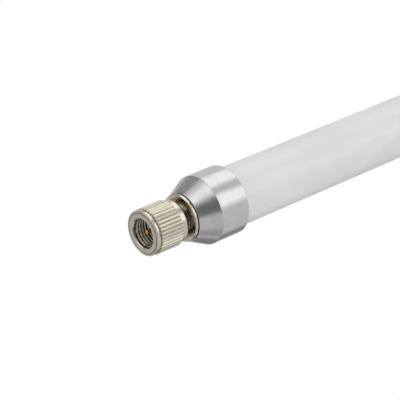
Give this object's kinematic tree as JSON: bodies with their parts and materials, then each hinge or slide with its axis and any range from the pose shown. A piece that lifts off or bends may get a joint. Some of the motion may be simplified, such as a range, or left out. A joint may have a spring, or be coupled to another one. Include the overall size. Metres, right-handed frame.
{
  "type": "omnidirectional antenna",
  "caption": "Slim white fibreglass omnidirectional antenna: tube with domed cap, aluminium conical ferrule and a threaded coaxial plug with a knurled coupling nut that spins freely.",
  "frame": {"origin": "the plug's reference plane: the centre of the end face of its outer contact sleeve", "axes": "+Z runs along the antenna's axis from the connector to the tip; X and Y are square to it, and the snap ring's opening is centred just below +X"},
  "size_m": [0.015, 0.015, 0.22],
  "materials": {
    "nickel": "bright nickel plate, warm tone, machined straight knurl",
    "nickel_body": "bright nickel plate over turned brass",
    "spring_bronze": "bare spring bronze",
    "silicone": "matt red silicone",
    "ptfe": "waxy white",
    "gold": "gold plate",
    "seal_rubber": "matt black rubber",
    "aluminium": "fine turned, clear anodised, satin",
    "epoxy": "cured clear-amber epoxy",
    "fibreglass": "white gelcoat, semi-gloss, faint roving",
    "cap_plastic": "moulded white plastic, semi-gloss",
    "copper": "drawn copper",
    "silver_plate": "silver plate",
    "solder": "dull solder",
    "shrink_sleeve": "black heat-shrink",
    "brass": "drawn brass",
    "foam": "closed-cell foam"
  },
  "bodies": {
    "antenna": {"connector_body": "nickel_body", "interface_gasket": "silicone", "connector_insulator": "ptfe", "centre_contact": "gold", "flange_seal": "seal_rubber", "ferrule": "aluminium", "tube_bond": "epoxy", "radome_tube": "fibreglass", "end_cap": "cap_plastic", "cap_bond": "epoxy", "coax_shield": "copper", "coax_dielectric": "ptfe", "coax_core": "silver_plate", "shield_solder": "solder", "heat_shrink": "shrink_sleeve", "choke_sleeve": "brass", "choke_disc": "brass", "choke_bush": "ptfe", "feed_insulator": "ptfe", "feed_joint": "solder", "radiator": "copper", "coil_former_lower": "ptfe", "coil_former_upper": "ptfe", "spacer_lower": "foam", "spacer_middle": "foam", "spacer_upper": "foam", "top_pad": "foam"},
    "ring": {"snap_ring": "spring_bronze"},
    "nut": {"coupling_nut": "nickel"}
  },
  "joints": [
    {"name": "nut_float", "type": "slide", "parent": "antenna", "child": "ring", "axis": [0, 0, 1], "range_m": [0, 0.00035]},
    {"name": "nut_spin", "type": "hinge", "parent": "ring", "child": "nut", "pos_m": [0, 0, 0], "axis": [0, 0, 1], "continuous": true}
  ]
}
